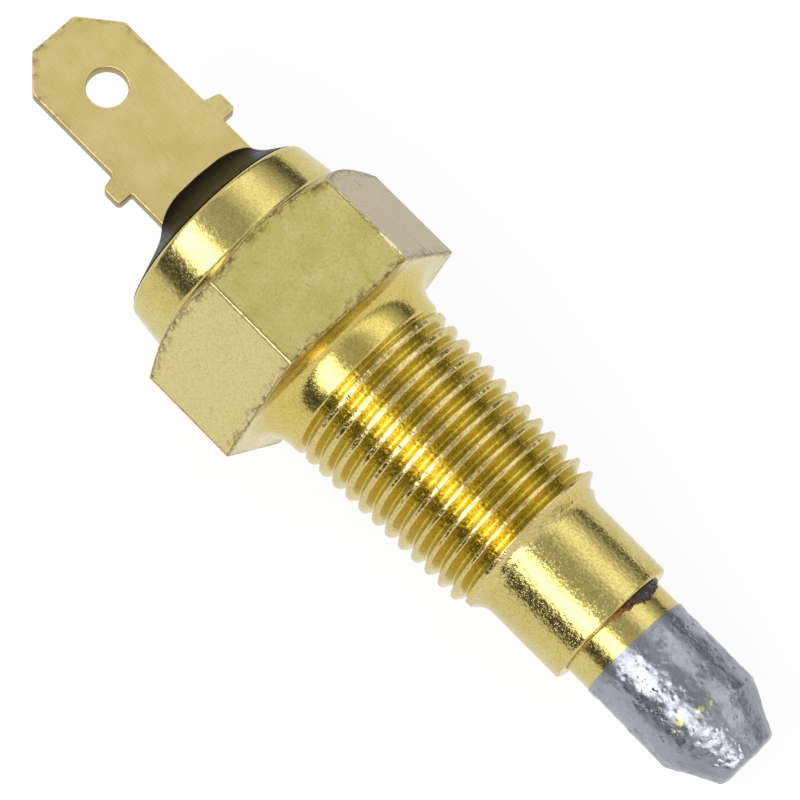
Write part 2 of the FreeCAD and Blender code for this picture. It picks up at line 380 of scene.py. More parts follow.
def cut_thread(piece, material):
    """Geometry Nodes: press a helical V groove into the taper, rounded at root and crest,
    that runs out before the neck and off the chamfered end."""
    sizes = {
        "Pitch": thread_pitch,
        "Depth": 0.67,
        "Half root": 0.02,
        "Flank slope": 1 / math.tan(math.radians(30)),
        "Root rounding": 0.05,
        "Crest rounding": 0.07,
        "Shallower per mm": 0.012,
        "Rounder per mm": 0.014,
        "Tear size": 0.22,
        "Tear depth": 0.05,
        "Lowest level": thread_end - 0.1,
        "Start length": 0.05,
        "Run-out level": -thread_plain_length - 0.15,
        "Last level": -thread_plain_length + 0.55,
        "Outside radius": shank_radius + 0.12,
        "Outside fade": 0.3,
        "Chamfer rounding": 0.03,
        "Groove from": 0.02,
        "Crest from": 0.03,
        "Crest to": 0.14,
    }
    tree, given, keys = start_shaping("taper thread", sizes)
    place = add(tree, "GeometryNodeInputPosition").outputs[0]
    x, y, z = add(tree, "ShaderNodeSeparateXYZ", None, {0: place}).outputs
    squares = maths(tree, "ADD", times(tree, x, x), times(tree, y, y))
    radius = maths(tree, "SQRT", squares)
    # the groove's floor, by the distance along the axis from the middle of its root
    turn = maths(tree, "DIVIDE", maths(tree, "ARCTAN2", y, x), 2 * math.pi)
    pitches = maths(tree, "SUBTRACT", maths(tree, "DIVIDE", z, given["Pitch"]), turn)
    from_root = maths(tree, "SUBTRACT", maths(tree, "FRACT", pitches), 0.5)
    from_root = times(tree, maths(tree, "ABSOLUTE", from_root), given["Pitch"])
    rise = maths(tree, "SUBTRACT", from_root, given["Half root"])
    rise = times(tree, rise, given["Flank slope"])
    floor = maths(tree, "SMOOTH_MAX", rise, 0.0, given["Root rounding"])
    # towards the neck the die left the groove shallower and the crests broad
    up = maths(tree, "SUBTRACT", z, given["Lowest level"])
    shallower = times(tree, up, given["Shallower per mm"])
    rounder = times(tree, up, given["Rounder per mm"])
    depth = maths(tree, "SUBTRACT", given["Depth"], shallower)
    rounding = maths(tree, "ADD", given["Crest rounding"], rounder)
    cut = maths(tree, "SMOOTH_MAX", maths(tree, "SUBTRACT", depth, floor), 0.0, rounding)
    start = maths(tree, "ADD", given["Lowest level"], given["Start length"])
    begin = spread(tree, z, given["Lowest level"], start, 0.0, 1.0)
    fade = spread(tree, z, given["Run-out level"], given["Last level"], 1.0, 0.0, smooth=True)
    # the cone of the end chamfer is cut only where the groove lies below it
    crest_radius = maths(tree, "ADD", times(tree, z, thread_taper / 2), thread_radius(0))
    root = maths(tree, "SUBTRACT", crest_radius, times(tree, cut, fade, begin))
    root = maths(tree, "SMOOTH_MIN", radius, root, given["Chamfer rounding"])
    sunk = maths(tree, "SUBTRACT", radius, root)
    # the crests are rough, where the die tore rather than cut
    tear = speckle(tree, place, given["Tear size"], detail=2.0, roughness=0.5)
    tear = times(tree, spread(tree, tear, 0.5, 0.68, 0, 1), given["Tear depth"], fade, begin)
    sunk = maths(tree, "MAXIMUM", sunk, tear)
    # only the outside is cut, not the bore
    outer = maths(tree, "ADD", given["Outside radius"], given["Outside fade"])
    outside = spread(tree, radius, given["Outside radius"], outer, 0.0, 1.0, smooth=True)
    on_stem = times(tree, maths(tree, "LESS_THAN", z, given["Last level"]), outside)
    inward = times(tree, maths(tree, "DIVIDE", sunk, radius), on_stem, -1.0)
    outward = add(tree, "ShaderNodeCombineXYZ", None, {0: x, 1: y}).outputs[0]
    offset = vector_maths(tree, "SCALE", outward, scale=inward)
    groove = spread(
        tree, times(tree, sunk, on_stem), given["Groove from"], given["Depth"], 0.0, 1.0)
    crest = spread(tree, sunk, given["Crest from"], given["Crest to"], 1.0, 0.0)
    crest = times(tree, crest, on_stem, fade, begin)
    geometry = given["Geometry"]
    for name, value in (("groove", groove), ("crest", crest)):
        geometry = add(tree, "GeometryNodeStoreNamedAttribute",
                       {"data_type": "FLOAT", "domain": "POINT"},
                       {"Geometry": geometry, "Name": name, "Value": value}).outputs[0]
    shape_piece(piece, tree, geometry, offset, material, sizes, keys)


def linear(hex_colour):
    """sRGB hex colour to a linear one."""
    parts = [int(hex_colour[i:i + 2], 16) / 255 for i in (1, 3, 5)]
    return [p / 12.92 if p <= 0.04045 else ((p + 0.055) / 1.055) ** 2.4 for p in parts] + [1.0]


def blend_colours(tree, share, first, second):
    """Two colours, each a hex colour or a node's output, mixed by the share of the second."""
    first, second = [linear(value) if isinstance(value, str) else value
                     for value in (first, second)]
    return add(tree, "ShaderNodeMix", {"data_type": "RGBA", "clamp_factor": True},
               {0: share, 6: first, 7: second}).outputs[2]


def painted(tree, name):
    return add(tree, "ShaderNodeAttribute", {"attribute_name": name}).outputs["Fac"]


def new_material(name):
    """Empty material with its shader, and coordinates in millimetres on the upright sensor."""
    material = bpy.data.materials.new(name)
    material.use_nodes = True
    tree = material.node_tree
    tree.nodes.clear()
    shader = add(tree, "ShaderNodeBsdfPrincipled")
    add(tree, "ShaderNodeOutputMaterial", None, {"Surface": shader.outputs[0]})
    place = add(tree, "ShaderNodeTexCoord").outputs["Object"]
    upright = add(tree, "ShaderNodeMapping", {"vector_type": "TEXTURE"}, {
        "Vector": place,
        "Location": laid_down.translation,
        "Rotation": sensor_turn.to_euler(),
        "Scale": (0.001, 0.001, 0.001),
    }).outputs[0]
    return material, tree, shader, upright


def finish_surface(tree, shader, colour, roughness, metallic, height, strength, distance):
    """Give the shader its colour, gloss and metal, and bumps of a height in metres."""
    tree.links.new(colour, shader.inputs["Base Color"])
    tree.links.new(roughness, shader.inputs["Roughness"])
    shader.inputs["Metallic"].default_value = metallic
    bump = add(tree, "ShaderNodeBump", None, {
        "Strength": strength, "Distance": distance, "Height": height})
    tree.links.new(bump.outputs[0], shader.inputs["Normal"])


# Bright-dipped turned brass: yellow gold, glossy, with the fine orange peel that the acid
# leaves; the bar's drawn skin on the flats is duller and paler, with a painted highlight along
# its corners and painted shade beside them.
brass, tree, shader, upright = new_material("bright_dipped_brass")
drawn_skin, hexagon, from_corner, from_end, painted_duller, painted_paler, groove, crest = [
    painted(tree, name) for name in (*marks, "groove", "crest")]
level = add(tree, "ShaderNodeSeparateXYZ", None, {0: upright}).outputs[2]
peel = speckle(tree, upright, size=0.1, detail=2.0)
cloud = speckle(tree, upright, size=0.9, detail=4.0)
grit = speckle(tree, upright, size=0.06, detail=3.0, roughness=0.65)
pits = spread(tree, speckle(tree, upright, size=0.05, detail=1.0), 0.6, 0.7, 0, 1)
patch = spread(tree, cloud, 0.35, 0.65, 0, 1)

# turned parts: neck and thread are fresher yellow than the shank, the grooves deeper in
# colour, and the crests pale in patches
neck = spread(tree, level, -2.6, -1.9, 0, 1)
below_hexagon = spread(tree, level, 0.03, 0.0, 0, 0.8)
above_shank = spread(tree, level, thread_end + 0.2, thread_end + 0.5, 0, 1)
fresh = times(tree, below_hexagon, above_shank, one_minus(tree, times(tree, neck, 0.35)))
crest_patch = spread(tree, speckle(tree, upright, size=0.12), 0.35, 0.6, 0.2, 1)
turned = blend_colours(tree, patch, "#CDBC70", "#D7C880")
turned = blend_colours(tree, fresh, turned, "#D9C364")
turned = blend_colours(tree, times(tree, groove, 0.6), turned, "#D3C667")
turned = blend_colours(tree, times(tree, crest, crest_patch), turned, "#D9C694")
turned = blend_colours(tree, spread(tree, grit, 0.45, 0.7, 0, 0.45), turned, "#8E7A3C")

# drawn flats; painted light on two of them: the flat at 30 degrees painted paler, the one at 150
# degrees painted duller and greyer
drawn = blend_colours(tree, patch, "#C8BB6E", "#D9CA8A")
drawn = blend_colours(tree, times(tree, painted_paler, 0.85), drawn, "#E8D79A")
drawn = blend_colours(tree, times(tree, painted_duller, 0.9), drawn, "#C4B59B")
drawn = blend_colours(tree, spread(tree, grit, 0.45, 0.7, 0, 0.32), drawn, "#8F7D48")

colour = blend_colours(tree, drawn_skin, turned, drawn)
tarnish = speckle(tree, upright, size=0.16, detail=5.0, roughness=0.7)
colour = blend_colours(tree, spread(tree, tarnish, 0.63, 0.72, 0, 0.5), colour, "#7A602F")

# one line of fine scratches along the flat painted duller, in lengths
scratch_bearing = math.radians(240)
scratch_slant = 0.004
scratch_width = 0.06
across_flat = vector_maths(tree, "DOT_PRODUCT", upright, second=(
    math.cos(scratch_bearing), math.sin(scratch_bearing), scratch_slant))
scratch = maths(tree, "LESS_THAN", maths(tree, "ABSOLUTE", across_flat), scratch_width)
lengths = spread(tree, speckle(tree, upright, size=0.7, detail=1.0), 0.45, 0.5, 0, 0.8)
colour = blend_colours(tree, times(tree, scratch, lengths, painted_duller), colour, "#6E5A44")

# the hexagon's edges: painted shade as a thin dark line on each side of every corner, a brown
# line along the ends that is dirt at the lower edge and painted shade at the top edge under the
# collar, brown dirt blots near the ends, and a painted highlight as a bright line along them
wobble = speckle(tree, upright, size=0.14, detail=4.0, roughness=0.6)
wobble = maths(tree, "SUBTRACT", wobble, 0.5)
near_corner = maths(tree, "ADD", from_corner, times(tree, wobble, 1.8))
near_end = maths(tree, "ADD", from_end, times(tree, wobble, 0.35))
corner_shade_line = spread(tree, near_corner, 0.6, 1.0, 0.6, 0)
end_dirt_and_shade_line = spread(tree, near_end, 0.08, 0.15, 0.6, 0)
blot = speckle(tree, upright, size=0.2, detail=5.0, roughness=0.7)
blot = times(tree, spread(tree, blot, 0.48, 0.57, 0, 0.8),
             spread(tree, near_end, 0.1, 0.6, 1, 0))
dirt_and_shade = maths(tree, "MAXIMUM", maths(tree, "MAXIMUM", corner_shade_line, end_dirt_and_shade_line), blot)
colour = blend_colours(tree, times(tree, hexagon, dirt_and_shade), colour, "#5E421E")
painted_edge_highlight = maths(tree, "MAXIMUM", spread(tree, near_corner, 0.2, 0.5, 0.85, 0),
               spread(tree, near_end, 0.01, 0.05, 0.55, 0))
colour = blend_colours(tree, times(tree, drawn_skin, painted_edge_highlight), colour, "#E9D9A0")

# a nick has laid metal open low on the corner between the middle flat and the flat painted
# duller; its near-white colour is a painted glint on the bare metal
nick_bearing = math.radians(120)
nick_level = 1.2
nick_stretch = 0.2
from_nick = vector_maths(tree, "SUBTRACT", upright, second=(
    hex_corner_radius * math.cos(nick_bearing), hex_corner_radius * math.sin(nick_bearing),
    nick_level))
from_nick = vector_maths(tree, "MULTIPLY", from_nick, second=(1, 1, nick_stretch))
from_nick = vector_maths(tree, "LENGTH", from_nick)
from_nick = maths(tree, "ADD", from_nick, times(tree, wobble, 0.5))
nick_and_glint = spread(tree, from_nick, 0.11, 0.17, 1, 0)
colour = blend_colours(tree, times(tree, nick_and_glint, hexagon), colour, "#FBF0C8")

turned_gloss = spread(tree, peel, 0.3, 0.7, 0.13, 0.23)
drawn_gloss = spread(tree, grit, 0.3, 0.7, 0.36, 0.48)
gloss = add(tree, "ShaderNodeMix", {"data_type": "FLOAT"}, {
    0: drawn_skin, 2: turned_gloss, 3: drawn_gloss}).outputs[0]

# the peel is weaker on the flats, the collar, the thimble and the neck
relief = maths(tree, "SUBTRACT", peel, times(tree, pits, 0.25))
on_neck = times(tree, neck, spread(tree, level, 0, 0.02, 1, 0))
relief = times(
    tree, relief,
    one_minus(tree, times(tree, drawn_skin, 0.6)),
    spread(tree, level, hex_top, hex_top + 0.3, 1, 0.4),
    spread(tree, level, shank_end - 0.05, shank_end, 0.6, 1),
    one_minus(tree, times(tree, on_neck, 0.55)))
finish_surface(tree, shader, colour, gloss, 1.0, relief, strength=1.0, distance=0.000024)


def lay_down(piece, material):
    """Carry the mesh from the upright sensor, in millimetres, to where the sensor lies."""
    piece.data.transform(laid_down)
    piece.data.materials.clear()
    piece.data.materials.append(material)
    piece.data.update()


def join_sensor(piece, slot, *nodes):
    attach(piece, "root")
    if nodes:
        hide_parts(*nodes)


cut_thread(body, brass)
lay_down(body, brass)
join_sensor(body, "body_brass", "hex_body")


# Probe thimble. Drawn brass tube, closed by a conical nose and pressed into the shank; the
# band next to the shank stays bare. The nose was dipped in tin, which froze in lumps and pits.

nose_shoulder = shank_end - 6.93
nose_end_radius = 1.8
nose_slope = math.tan(math.radians(27.0))
nose_tip = nose_shoulder - (thimble_radius - nose_end_radius) / nose_slope
thimble_floor = nose_tip + 2.8
tin_thickness = 0.05
bare_radius = thimble_radius - tin_thickness
dip_level = shank_end - 1.5
dip_slant = 0.03
dip_bearing = math.radians(165)
tube_under_tin = 0.3
tube_step_low = dip_level - 0.5
tube_step_high = dip_level - 0.35
tin_foot_radius = bare_radius - 0.05
round_angles = np.linspace(0, 2 * math.pi, 256, endpoint=False)
tube_path = rounded_path([
    (0.001, nose_tip + tube_under_tin, 0),
    (nose_end_radius - 0.2, nose_tip + tube_under_tin, 0.3),
    (bare_radius - tube_under_tin, nose_shoulder + tube_under_tin, 0.3),
    (bare_radius - tube_under_tin, tube_step_low, 0),
    (bare_radius, tube_step_high, 0),
    (bare_radius, thimble_top, 0),
    (bore_radius, thimble_top, 0),
    (bore_radius, thimble_floor, 0),
    (0.001, thimble_floor, 0),
])
tube = ring_mesh("probe_thimble_tube", turned_rings(tube_path, round_angles), looped=False)
lay_down(tube, brass)
join_sensor(tube, "probe_metal")

# the tin's outside has fine rows for its hollows and pits; inside it is hidden on the tube
tin_outside = rounded_path([
    (0.02, nose_tip, 0),
    (nose_end_radius, nose_tip, 0.35),
    (thimble_radius, nose_shoulder, 0.12),
    (thimble_radius, dip_level, 0.03),
    (tin_foot_radius, dip_level, 0),
], longest=0.05, hold=0.02)
tin_inside = rounded_path([
    (tin_foot_radius, dip_level, 0),
    (bare_radius - 0.3, nose_shoulder + 0.7, 0),
    (0.02, nose_tip + 0.6, 0),
])
tin_rings = turned_rings(tin_outside + tin_inside[1:], round_angles)
dip_away = Vector((math.cos(dip_bearing), math.sin(dip_bearing), 0))
for ring in tin_rings:
    for index, point in enumerate(ring):
        up = max(0, (point[2] - nose_shoulder) / (dip_level - nose_shoulder))
        drop = dip_slant * up * (thimble_radius + Vector(point).dot(dip_away))
        ring[index] = (point[0], point[1], point[2] - drop)
tin = ring_mesh("tin_dipped_nose", tin_rings, looped=False)


def roughen_tin(piece, material):
    """Geometry Nodes: sink the tin's outside in soft hollows and sharp pits, never out."""
    sizes = {
        "Hollow size": 0.6,
        "Hollow depth": 0.07,
        "Pit size": 0.13,
        "Pit depth": 0.035,
        "Smooth above": dip_level - 0.75,
        "Smooth from": dip_level - 0.45,
    }
    tree, given, keys = start_shaping("frozen tin", sizes)
    place = add(tree, "GeometryNodeInputPosition").outputs[0]
    x, y, z = add(tree, "ShaderNodeSeparateXYZ", None, {0: place}).outputs
    hollow = speckle(tree, place, given["Hollow size"], detail=2.5, roughness=0.5, seed=3.0)
    pit = speckle(tree, place, given["Pit size"], detail=1.0, roughness=0.5, seed=7.0)
    deep = times(tree, spread(tree, hollow, 0.35, 0.6, 0, 1), given["Hollow depth"])
    sharp = times(tree, spread(tree, pit, 0.62, 0.7, 0, 1), given["Pit depth"])
    rough = spread(tree, z, given["Smooth above"], given["Smooth from"], 1.0, 0.0)
    below_shoulder = maths(tree, "MINIMUM", maths(tree, "SUBTRACT", z, nose_shoulder), 0.0)
    outward = add(tree, "ShaderNodeCombineXYZ", None, {0: x, 1: y, 2: below_shoulder}).outputs[0]
    outward = vector_maths(tree, "NORMALIZE", outward)
    inward = times(tree, maths(tree, "ADD", deep, sharp), rough, -1.0)
    offset = vector_maths(tree, "SCALE", outward, scale=inward)
    shape_piece(piece, tree, given["Geometry"], offset, material, sizes, keys)


# Hot-dipped tin: blue-grey and bright where it froze smooth, dull and dark in its skin of
# dross, pitted, with brass showing through in flecks at the nose's shoulder.
dip_tin, tree, shader, upright = new_material("hot_dipped_tin")
dross = speckle(tree, upright, size=0.35, detail=5.0, roughness=0.65)
skin = speckle(tree, upright, size=1.1)
fine = speckle(tree, upright, size=0.07)
colour = blend_colours(tree, spread(tree, skin, 0.35, 0.65, 0, 1), "#8D9199", "#A3A6AC")
colour = blend_colours(tree, spread(tree, dross, 0.55, 0.7, 0, 0.6), colour, "#5A5E66")
flecks = [
    # bearing in degrees, height over the shoulder, radius
    (56, 0.93, 0.2),
    (47, 0.7, 0.1),
    (78, 0.6, 0.13),
    (88, 0.45, 0.08),
    (215, 0.6, 0.18),
]
fleck_edge = 0.05
ragged = maths(tree, "SUBTRACT", speckle(tree, upright, size=0.12), 0.5)
ragged = times(tree, ragged, 0.5)
for bearing, rise, size in flecks:
    spot = (thimble_radius * math.cos(math.radians(bearing)),
            thimble_radius * math.sin(math.radians(bearing)), nose_shoulder + rise)
    away = maths(tree, "ADD", vector_maths(tree, "DISTANCE", upright, second=spot), ragged)
    bare = spread(tree, away, size, size + fleck_edge, 1, 0)
    colour = blend_colours(tree, bare, colour, "#E3DA96")
relief = maths(tree, "ADD", dross, times(tree, fine, 0.4))
finish_surface(tree, shader, colour, spread(tree, dross, 0.3, 0.7, 0.2, 0.38), 1.0, relief,
               strength=0.5, distance=0.00006)
roughen_tin(tin, dip_tin)
lay_down(tin, dip_tin)
join_sensor(tin, "probe_metal", "probe_thimble")


# Joint bead. Red-brown sealing lacquer brushed round the corner between shank and thimble;
# it gathered into a dark lump on one side and left a thin film beside that, painted
# amber-gold, partly as a painted reflection of the shank's brass edge.

lump_bearing = 124
lump_spread = 26
film_spread = 34
film_shift = 22
least_width, film_width, lump_width = 0.07, 0.1, 0.32
least_height, film_height, lump_height = 0.05, 0.12, 0.34
bead_swell = 0.22
bead_fullness = 0.95
ripple_stretch = 0.25
ripples = [
    # how often round the axis, and how strong
    (7, 0.7),
    (23, 0.5),
]
bead_angles = np.linspace(0, 2 * math.pi, 480, endpoint=False)
bead_rings = []
bead_depth = []
for share in np.linspace(1, 0, 15):
    ring = []
    quarter = share * math.pi / 2
    swell = math.sin(math.pi * share) * bead_swell
    for angle in bead_angles:
        from_lump = angle - math.radians(lump_bearing)
        beside = math.degrees(math.atan2(math.sin(from_lump), math.cos(from_lump)))
        gather = math.exp(-(beside / lump_spread) ** 2)
        film = math.exp(-((beside + film_shift) / film_spread) ** 4)
        round_axis = Vector((math.cos(angle), math.sin(angle), share * ripple_stretch))
        ripple = sum(noise.noise(round_axis * often) * strong for often, strong in ripples)
        width = least_width + film_width * film * (1 + ripple)
        width += lump_width * gather * (1 + 0.5 * ripple)
        height = least_height + film_height * film * (1 + ripple)
        height += lump_height * gather * (1 + 0.9 * ripple)
        radius = bare_radius - 0.02 + width * (math.cos(quarter) + swell) * bead_fullness
        level = shank_end + 0.005 - height * (math.sin(quarter) + swell) * bead_fullness
        ring.append((radius * math.cos(angle), radius * math.sin(angle), level))
        bead_depth.append(gather + 0.3 * film)
    bead_rings.append(ring)
bead_rings += turned_rings([(bare_radius - 0.06, shank_end + 0.02)], bead_angles)
bead_depth += [0.0] * len(bead_angles)
bead = ring_mesh("lacquer_bead", bead_rings, looped=True)
paint(bead, "gathered", bead_depth)

# Lacquer: amber-gold where thin, partly a painted reflection of the shank's brass edge, dark red
# where it gathered, nearly black in the lump.
lacquer, tree, shader, upright = new_material("sealing_lacquer")
gathered = painted(tree, "gathered")
streak = speckle(tree, upright, size=0.12, detail=4.0)
streaked = maths(tree, "ADD", gathered, times(tree, streak, 0.5))
thick = maths(tree, "ADD", gathered, times(tree, streak, 0.6))
colour = blend_colours(tree, spread(tree, streaked, 0.2, 0.5, 0, 1), "#C0A24E", "#8E5A22")
colour = blend_colours(tree, spread(tree, thick, 0.45, 1.0, 0, 1), colour, "#451512")
colour = blend_colours(tree, spread(tree, streaked, 0.9, 1.25, 0, 0.9), colour, "#2B2228")
colour = blend_colours(tree, spread(tree, streak, 0.55, 0.68, 0, 0.8), colour, "#1E1214")
finish_surface(tree, shader, colour, spread(tree, streak, 0.3, 0.7, 0.12, 0.4), 0.0, streak,
               strength=0.6, distance=0.00008)
lay_down(bead, lacquer)
join_sensor(bead, "lacquer", "joint_bead")


# Blade terminal. Half-hard brass sheet, 0.8 mm, stamped: blade with chamfered end, latch
# hole and two stop ears. The punch rolled its edges over and left the hole a soft rim.

blade_width = 6.3
blade_thickness = 0.8
blade_offset = -1.17
ear_width = 8.1
ear_bottom = rim_level + 4.13
ear_top = ear_bottom + 1.45
ear_shoulder_slope = 0.25
ear_skew = 0.11
ear_round = 0.28
blade_end = ear_top + 7.94
left_chamfer = (1.75, 2.07)
right_chamfer = (1.6, 1.75)
end_round = 0.3
inner_round = 0.1
hole_radius = 1.13
hole_aside = blade_offset + 0.05
hole_level = blade_end - 4.1
insulator_top = cup_floor + 1.6
tang_width = 2.4
tang_end = cup_floor - 2.6 - 1.2
edge_roll = 0.07
left = blade_offset - blade_width / 2
right = blade_offset + blade_width / 2
ear_left = blade_offset - ear_width / 2
ear_right = blade_offset + ear_width / 2
outline_points = rounded_path([
    (0, tang_end, 0),
    (tang_width / 2, tang_end, inner_round),
    (tang_width / 2, insulator_top, inner_round),
    (right, insulator_top, inner_round),
    (right, ear_bottom + ear_skew, inner_round),
    (ear_right, ear_bottom + ear_skew, ear_round),
    (ear_right, ear_top + ear_skew - ear_shoulder_slope, ear_round),
    (right, ear_top + ear_skew, ear_round / 2),
    (right, blade_end - right_chamfer[1], end_round),
    (right - right_chamfer[0], blade_end, end_round),
    (left + left_chamfer[0], blade_end, end_round),
    (left, blade_end - left_chamfer[1], end_round),
    (left, ear_top - ear_skew, ear_round / 2),
    (ear_left, ear_top - ear_skew - ear_shoulder_slope, ear_round),
    (ear_left, ear_bottom - ear_skew, ear_round),
    (left, ear_bottom - ear_skew, inner_round),
    (left, insulator_top, inner_round),
    (-tang_width / 2, insulator_top, inner_round),
    (-tang_width / 2, tang_end, inner_round),
    (0, tang_end, 0),
], longest=9, hold=9)
hole_points = [(hole_aside + hole_radius * math.cos(a), hole_level + hole_radius * math.sin(a))
               for a in np.linspace(0, 2 * math.pi, 72, endpoint=False)]
stamping = bpy.data.curves.new("blade_outline", "CURVE")
stamping.dimensions = "2D"
stamping.fill_mode = "BOTH"
stamping.extrude = blade_thickness / 2 - edge_roll
stamping.bevel_depth = edge_roll
stamping.bevel_resolution = 3
stamping.offset = -edge_roll
for points in (outline_points[:-1], hole_points):
    spline = stamping.splines.new("POLY")
    spline.points.add(len(points) - 1)
    for point, (x, z) in zip(spline.points, points):
        point.co = (x, z, 0, 1)
    spline.use_cyclic_u = True
stamped = bpy.data.objects.new("blade_outline", stamping)
bpy.context.scene.collection.objects.link(stamped)
ready = stamped.evaluated_get(bpy.context.evaluated_depsgraph_get())
blade_mesh = bpy.data.meshes.new_from_object(ready)
bpy.data.objects.remove(stamped)
blade_mesh.name = "blade_terminal_stamping"
blade = bpy.data.objects.new("blade_terminal_stamping", blade_mesh)
bpy.context.scene.collection.objects.link(blade)
blade_mesh.transform(Matrix.Rotation(math.radians(90), 4, "X"))
blade_mesh.shade_smooth()
blade_mesh.set_sharp_from_angle(angle=math.radians(40))
blade_points = np.array([tuple(vertex.co) for vertex in blade_mesh.vertices])
paint(blade, "punched_wall", np.abs(blade_points[:, 1]) < blade_thickness / 2 - 0.02)

# Rolled brass sheet: pale tan gold and satin, faint grain along the strip, specks of tarnish.
sheet_brass, tree, shader, upright = new_material("rolled_sheet_brass")
along = vector_maths(tree, "MULTIPLY", upright, second=(1.0, 1.0, 0.12))
grain = speckle(tree, along, size=0.05)
cloud = speckle(tree, upright, size=0.8, detail=4.0)
specks = speckle(tree, upright, size=0.1, detail=4.0, roughness=0.7)
colour = blend_colours(tree, spread(tree, cloud, 0.35, 0.65, 0, 1), "#DAC67F", "#E2D090")
colour = blend_colours(tree, spread(tree, specks, 0.64, 0.74, 0, 0.7), colour, "#7A6038")

# brown blots along the outline of the blade's free end, strongest at the edge
slant = math.sqrt(0.5)
edges = [
    # direction of the edge's outside (across, up), and the edge's distance that way
    (-1, 0, -left),
    (1, 0, right),
    (0, 1, blade_end),
    (-slant, slant, slant * (blade_end - left - left_chamfer[0])),
    (slant, slant, slant * (blade_end + right - right_chamfer[0])),
]
inside = far
for across, up, limit in edges:
    reach = vector_maths(tree, "DOT_PRODUCT", upright, second=(across, 0, up))
    inside = maths(tree, "MINIMUM", inside, maths(tree, "SUBTRACT", limit, reach))
level = add(tree, "ShaderNodeSeparateXYZ", None, {0: upright}).outputs[2]
near_free_end_outline = times(tree, spread(tree, inside, 0.1, 0.5, 1, 0),
                spread(tree, level, blade_end - 5, blade_end - 3, 0.25, 1))
blots = speckle(tree, upright, size=0.2, detail=4.0, roughness=0.65)
blots = times(tree, near_free_end_outline, spread(tree, blots, 0.47, 0.6, 0, 0.6))
colour = blend_colours(tree, blots, colour, "#7A4E30")

# painted shade: the punched walls all round are painted darker than the rolled faces
painted_wall_shade = times(tree, painted(tree, "punched_wall"), 0.65)
colour = blend_colours(tree, painted_wall_shade, colour, "#7C6030")
finish_surface(tree, shader, colour, spread(tree, grain, 0.3, 0.7, 0.3, 0.42), 1.0, grain,
               strength=0.35, distance=0.00002)
lay_down(blade, sheet_brass)
join_sensor(blade, "blade_brass", "blade_terminal")


# Potting. Black two-part resin poured into the cup; before it set it crept over the lip
# and up the blade, where it stands in a hollow skirt, highest in the middle of the blade.

potting_rise = 2.7
potting_droop = 0.67
film_radius = collar_rim_radius - 0.2
film_thickness = 0.02
film_edge_level = rim_level - 0.1
fill_radius = cup_radius - 0.01
blade_side = blade_width / 2 - 0.02
blade_face = blade_thickness / 2 - 0.02
skirt_rows = 40
potting_angles = np.linspace(0, 2 * math.pi, 240, endpoint=False)


def squared(value):
    """Sine or cosine pushed towards 1 or -1, so that a circle becomes nearly a rectangle."""
    return math.copysign(abs(value) ** 0.22, value)


potting_rings = turned_rings([
    (fill_radius, insulator_top),
    (fill_radius, film_edge_level),
    (film_radius, film_edge_level),
], potting_angles)
for share in np.linspace(0, 1, skirt_rows):
    ring = []
    slope = 0.8 * share + 0.2 * share ** 7
    for angle in potting_angles:
        rim = Vector((film_radius * math.cos(angle), film_radius * math.sin(angle)))
        foot = Vector((blade_offset + blade_side * squared(math.cos(angle)),
                       blade_face * squared(math.sin(angle))))
        aside = abs(foot.x - blade_offset) / blade_side
        climb = potting_rise - potting_droop * aside ** 3
        point = rim.lerp(foot, share)
        height = film_thickness + (climb - film_thickness) * slope
        ring.append((point.x, point.y, rim_level + height))
    potting_rings.append(ring)
potting_rings.append([(x, y, insulator_top) for x, y, z in potting_rings[-1]])
potting = ring_mesh("black_potting", potting_rings, looped=True)

# Epoxy resin: nearly black, satin, with a little dust.
resin, tree, shader, upright = new_material("black_potting_resin")
haze = speckle(tree, upright, size=0.5)
dust = spread(tree, speckle(tree, upright, size=0.05, detail=2.0), 0.7, 0.75, 0, 0.5)
colour = blend_colours(tree, haze, "#0B0807", "#120E0C")
colour = blend_colours(tree, dust, colour, "#5A4630")
shader.inputs["IOR"].default_value = 1.5
shader.inputs["Specular IOR Level"].default_value = 0.02
finish_surface(tree, shader, colour, spread(tree, haze, 0.3, 0.7, 0.28, 0.4), 0.0, haze,
               strength=0.15, distance=0.00005)
lay_down(potting, resin)
join_sensor(potting, "potting", "potting_resin")


# The pieces inside, hidden once the cup is potted: a phenolic bush and sleeve, a turned pin,
# a phosphor-bronze spring and the sintered thermistor disc. They keep the source's meshes.

inner_finishes = {
    # material, dark and light colour, metal, roughness, size of its grain
    "terminal_insulator": ("phenolic_laminate", "#5A3418", "#6E4423", 0.0, 0.45, 0.25),
    "insulating_sleeve": ("phenolic_paper_tube", "#6B4A26", "#80602F", 0.0, 0.5, 0.2),
    "contact_pin": ("turned_brass_pin", "#D8BE66", "#E2CB7C", 1.0, 0.25, 0.12),
    "contact_spring": ("phosphor_bronze_wire", "#C08A4E", "#CC9A60", 1.0, 0.28, 0.1),
    "thermistor_disc": ("sintered_thermistor", "#1C1C20", "#2C2C31", 0.0, 0.6, 0.1),
}
for node, (name, dark, light, metal, roughness, size) in inner_finishes.items():
    finish, tree, shader, upright = new_material(name)
    grain = speckle(tree, upright, size=size, detail=4.0)
    colour = blend_colours(tree, spread(tree, grain, 0.35, 0.65, 0, 1), dark, light)
    gloss = spread(tree, grain, 0.3, 0.7, roughness - 0.06, roughness + 0.06)
    finish_surface(tree, shader, colour, gloss, metal, grain, strength=0.2, distance=0.00003)
    frame["nodes"][node].data.materials.clear()
    frame["nodes"][node].data.materials.append(finish)


# Camera. It looks down on the lying sensor with the probe nearer, as in the photograph:
# how far the probe leans towards it, how far the flat is turned from it, and the distance.

camera_distance = 0.20023
probe_lean = math.radians(9.204)
axis_slant = math.radians(45.014)
flat_turn = math.radians(15.04)
zero_aside, zero_below = -0.003013, -0.002370
view_pixels, view_focal = 800, 3901.5

